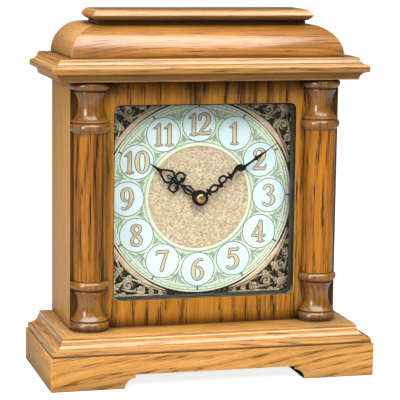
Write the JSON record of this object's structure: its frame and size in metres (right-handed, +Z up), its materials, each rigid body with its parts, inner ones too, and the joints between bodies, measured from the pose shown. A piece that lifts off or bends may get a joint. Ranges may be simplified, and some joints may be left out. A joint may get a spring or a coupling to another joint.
{
  "type": "mantel clock",
  "caption": "Oak mantel clock: moulded plinth, turned half columns, cornice and hood, glazed square dial, pierced hands, quartz movement and a hinged back door.",
  "frame": {"origin": "under the middle of the plinth's footprint, on the surface that the clock stands on", "axes": "+X to the right when facing the dial; the dial faces -Y; +Z up"},
  "size_m": [0.28, 0.122, 0.31],
  "materials": {
    "oak_front": "satin lacquered oak veneer",
    "oak_side": "satin lacquered oak veneer",
    "oak_turned": "gloss lacquered turned oak",
    "oak_moulding": "satin lacquered oak moulding",
    "hardboard": "matt hardboard",
    "pane": "clear float glass",
    "black_trim": "matt black",
    "black_block": "matt black stain",
    "dial_antique": "antiqued relief",
    "dial_ring": "printed pale green",
    "dial_gold": "engraved satin gold",
    "hand_black": "gloss black enamel",
    "brass": "polished",
    "movement_plastic": "moulded grey",
    "wheel_plastic": "moulded natural",
    "steel": "plated",
    "copper": "enamelled winding wire",
    "board": "solder mask",
    "cell": "printed wrap"
  },
  "bodies": {
    "case": {"plinth_front": "oak_moulding", "base_moulding": "oak_moulding", "cornice": "oak_moulding", "hood_front": "oak_moulding", "hood_left": "oak_moulding", "hood_right": "oak_moulding", "cap_board": "oak_moulding", "hood_top_board": "oak_moulding", "plinth_left": "oak_side", "plinth_right": "oak_side", "plinth_back": "oak_side", "side_panel_left": "oak_side", "side_panel_right": "oak_side", "cap_spacer": "oak_side", "hood_back_rail": "oak_side", "front_panel": "oak_front", "column_base_left": "oak_turned", "column_shaft_left": "oak_turned", "column_capital_left": "oak_turned", "column_base_right": "oak_turned", "column_shaft_right": "oak_turned", "column_capital_right": "oak_turned", "glass_pane": "pane", "glass_bead": "black_trim", "dial_battens": "black_trim", "foot_block_left": "black_block", "foot_block_right": "black_block", "dial_plate": "dial_antique", "spandrel_top_right": "dial_antique", "spandrel_top_left": "dial_antique", "spandrel_bottom_left": "dial_antique", "spandrel_bottom_right": "dial_antique", "chapter_ring": "dial_ring", "dial_centre": "dial_gold", "fixing_nut": "brass", "hinge_leaf_frame_lower": "brass", "hinge_leaf_frame_upper": "brass", "movement_case": "movement_plastic", "movement_cover": "movement_plastic", "stator": "steel", "contact_negative": "steel", "contact_positive": "steel", "coil": "copper", "circuit_board": "board", "battery": "cell", "back_frame": "hardboard"},
    "minute_hand": {"centre_arbor": "wheel_plastic", "minute_hand": "hand_black", "hand_nut": "brass"},
    "hour_hand": {"hour_wheel": "wheel_plastic", "hour_hand": "hand_black"},
    "setting_knob": {"minute_wheel": "wheel_plastic", "setting_knob": "black_trim"},
    "third_wheel": {"third_wheel": "wheel_plastic"},
    "seconds_wheel": {"seconds_wheel": "wheel_plastic"},
    "rotor": {"rotor": "steel"},
    "back_door": {"back_door": "hardboard", "door_knob": "brass", "hinge_leaf_door_lower": "brass", "hinge_leaf_door_upper": "brass"}
  },
  "joints": [
    {"name": "minute_hand_turn", "type": "hinge", "parent": "case", "child": "minute_hand", "pos_m": [0, 0, 0.149], "axis": [0, 1, 0], "continuous": true},
    {"name": "hour_hand_turn", "type": "hinge", "parent": "case", "child": "hour_hand", "pos_m": [0, 0, 0.149], "axis": [0, 1, 0], "continuous": true},
    {"name": "setting_knob_turn", "type": "hinge", "parent": "case", "child": "setting_knob", "pos_m": [-0.0096, 0, 0.149], "axis": [0, 1, 0], "continuous": true},
    {"name": "third_wheel_turn", "type": "hinge", "parent": "case", "child": "third_wheel", "pos_m": [0.0045, 0, 0.15679], "axis": [0, 1, 0], "continuous": true},
    {"name": "seconds_wheel_turn", "type": "hinge", "parent": "case", "child": "seconds_wheel", "pos_m": [0.013, 0, 0.15679], "axis": [0, 1, 0], "continuous": true},
    {"name": "rotor_turn", "type": "hinge", "parent": "case", "child": "rotor", "pos_m": [-0.016, 0, 0.1585], "axis": [0, 1, 0], "continuous": true},
    {"name": "back_door_hinge", "type": "hinge", "parent": "case", "child": "back_door", "pos_m": [0.0756, 0.0523, 0.148], "axis": [0, 0, -1], "range_deg": [0, 110]}
  ],
  "couplings": [
    {"joint": "hour_hand_turn", "follows": "minute_hand_turn", "ratio": 0.083333},
    {"joint": "setting_knob_turn", "follows": "minute_hand_turn", "ratio": -0.33333},
    {"joint": "third_wheel_turn", "follows": "minute_hand_turn", "ratio": -8},
    {"joint": "seconds_wheel_turn", "follows": "minute_hand_turn", "ratio": 60}
  ]
}
